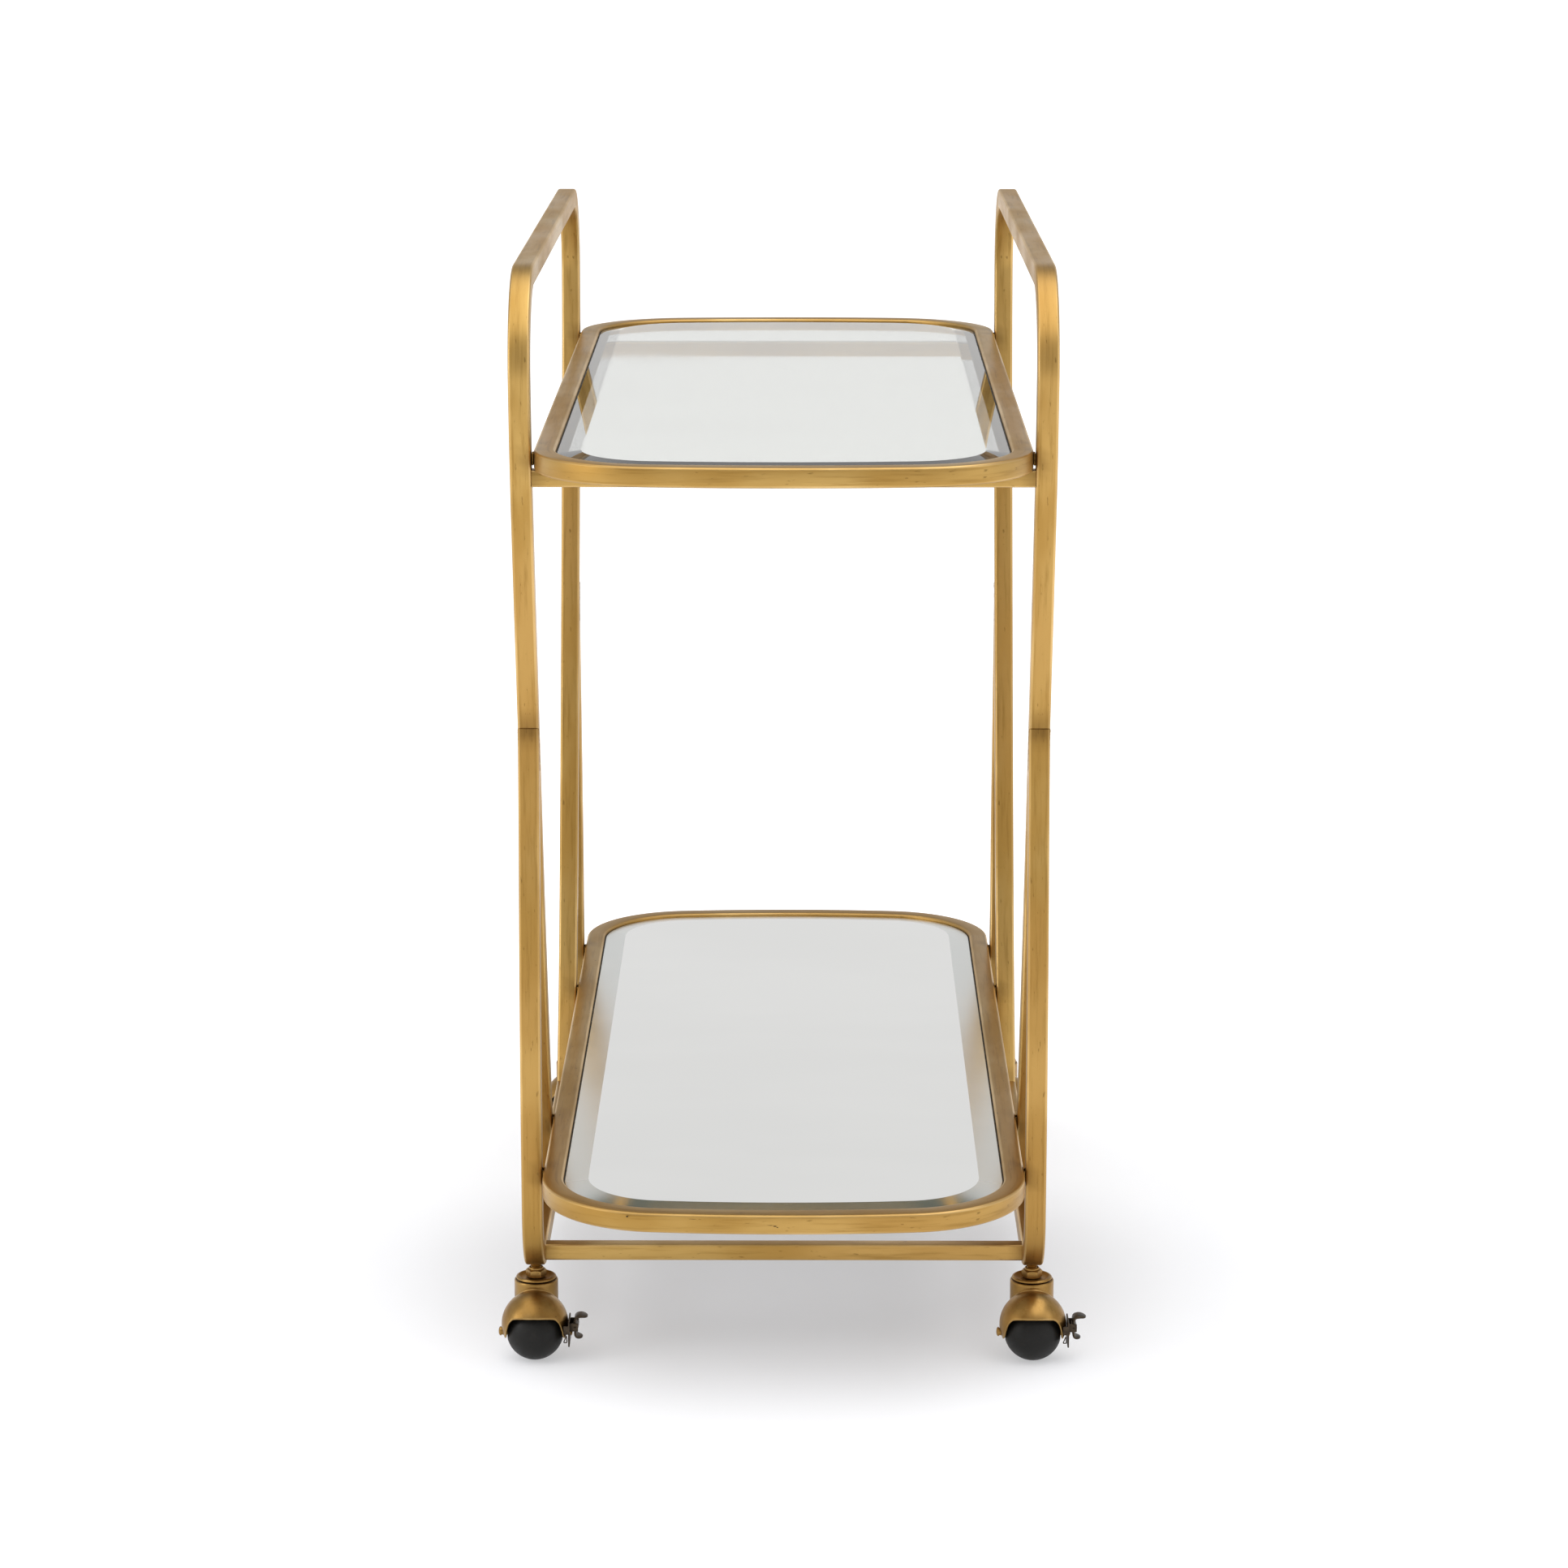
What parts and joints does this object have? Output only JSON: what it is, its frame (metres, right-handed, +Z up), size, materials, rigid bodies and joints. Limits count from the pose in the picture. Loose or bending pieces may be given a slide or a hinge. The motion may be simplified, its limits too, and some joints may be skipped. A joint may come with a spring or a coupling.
{
  "type": "bar cart",
  "caption": "Two-tier bar cart: bent square-tube side frames with top handles, a glass upper tray, a mirror lower tray and hooded ball casters.",
  "frame": {"origin": "on the floor, under the middle of the two side frames and of the tray's length", "axes": "+X across the cart to its right, +Y along the cart from the braked front to the rear, +Z up"},
  "size_m": [0.4566, 0.94, 0.85],
  "materials": {
    "brass": "hand-rubbed antique brass, satin",
    "glass": "clear, bevelled border",
    "mirror": "silvered, bevelled border",
    "rubber": "matte near-black",
    "bronze": "dark bronze, satin"
  },
  "bodies": {
    "frame": {"left_upper_loop": "brass", "left_base_loop": "brass", "right_upper_loop": "brass", "right_base_loop": "brass", "top_tray_rim": "brass", "top_tray_ledge": "brass", "top_glass": "glass", "bottom_tray_rim": "brass", "bottom_tray_ledge": "brass", "bottom_mirror": "mirror", "front_crossbar": "brass", "front_stretcher": "brass", "rear_crossbar": "brass", "rear_stretcher": "brass", "front_left_top_weld": "brass", "front_left_post_weld": "brass", "front_left_leg_weld": "brass", "rear_left_top_weld": "brass", "rear_left_post_weld": "brass", "rear_left_leg_weld": "brass", "front_right_top_weld": "brass", "front_right_post_weld": "brass", "front_right_leg_weld": "brass", "rear_right_top_weld": "brass", "rear_right_post_weld": "brass", "rear_right_leg_weld": "brass", "front_left_stem": "brass", "front_left_nut": "brass", "front_left_cap": "brass", "front_right_stem": "brass", "front_right_nut": "brass", "front_right_cap": "brass", "rear_left_stem": "brass", "rear_left_nut": "brass", "rear_left_cap": "brass", "rear_right_stem": "brass", "rear_right_nut": "brass", "rear_right_cap": "brass"},
    "front_left_swivel": {"front_left_hood": "brass", "front_left_axle": "brass", "front_left_brake_plate": "bronze", "front_left_brake_pin": "bronze", "front_left_brake_spring": "bronze"},
    "front_left_wheel": {"front_left_ball": "rubber"},
    "front_left_brake": {"front_left_brake_lever": "bronze"},
    "front_right_swivel": {"front_right_hood": "brass", "front_right_axle": "brass", "front_right_brake_plate": "bronze", "front_right_brake_pin": "bronze", "front_right_brake_spring": "bronze"},
    "front_right_wheel": {"front_right_ball": "rubber"},
    "front_right_brake": {"front_right_brake_lever": "bronze"},
    "rear_left_swivel": {"rear_left_hood": "brass", "rear_left_axle": "brass"},
    "rear_left_wheel": {"rear_left_ball": "rubber"},
    "rear_right_swivel": {"rear_right_hood": "brass", "rear_right_axle": "brass"},
    "rear_right_wheel": {"rear_right_ball": "rubber"}
  },
  "joints": [
    {"name": "front_left_swivel_turn", "type": "hinge", "parent": "frame", "child": "front_left_swivel", "pos_m": [-0.1935, -0.308, 0.05], "axis": [0, 0, 1], "continuous": true},
    {"name": "front_left_wheel_roll", "type": "hinge", "parent": "front_left_swivel", "child": "front_left_wheel", "pos_m": [-0.1935, -0.33, 0.0222], "axis": [1, 0, 0], "continuous": true},
    {"name": "front_left_brake_rock", "type": "hinge", "parent": "front_left_swivel", "child": "front_left_brake", "pos_m": [-0.1621, -0.33, 0.0275], "axis": [0, 1, 0], "range_deg": [0, 12]},
    {"name": "front_right_swivel_turn", "type": "hinge", "parent": "frame", "child": "front_right_swivel", "pos_m": [0.1935, -0.308, 0.05], "axis": [0, 0, 1], "continuous": true},
    {"name": "front_right_wheel_roll", "type": "hinge", "parent": "front_right_swivel", "child": "front_right_wheel", "pos_m": [0.1935, -0.33, 0.0222], "axis": [1, 0, 0], "continuous": true},
    {"name": "front_right_brake_rock", "type": "hinge", "parent": "front_right_swivel", "child": "front_right_brake", "pos_m": [0.2249, -0.33, 0.0275], "axis": [0, 1, 0], "range_deg": [0, 12]},
    {"name": "rear_left_swivel_turn", "type": "hinge", "parent": "frame", "child": "rear_left_swivel", "pos_m": [-0.1935, 0.308, 0.05], "axis": [0, 0, 1], "continuous": true},
    {"name": "rear_left_wheel_roll", "type": "hinge", "parent": "rear_left_swivel", "child": "rear_left_wheel", "pos_m": [-0.1935, 0.286, 0.0222], "axis": [1, 0, 0], "continuous": true},
    {"name": "rear_right_swivel_turn", "type": "hinge", "parent": "frame", "child": "rear_right_swivel", "pos_m": [0.1935, 0.308, 0.05], "axis": [0, 0, 1], "continuous": true},
    {"name": "rear_right_wheel_roll", "type": "hinge", "parent": "rear_right_swivel", "child": "rear_right_wheel", "pos_m": [0.1935, 0.286, 0.0222], "axis": [1, 0, 0], "continuous": true}
  ]
}
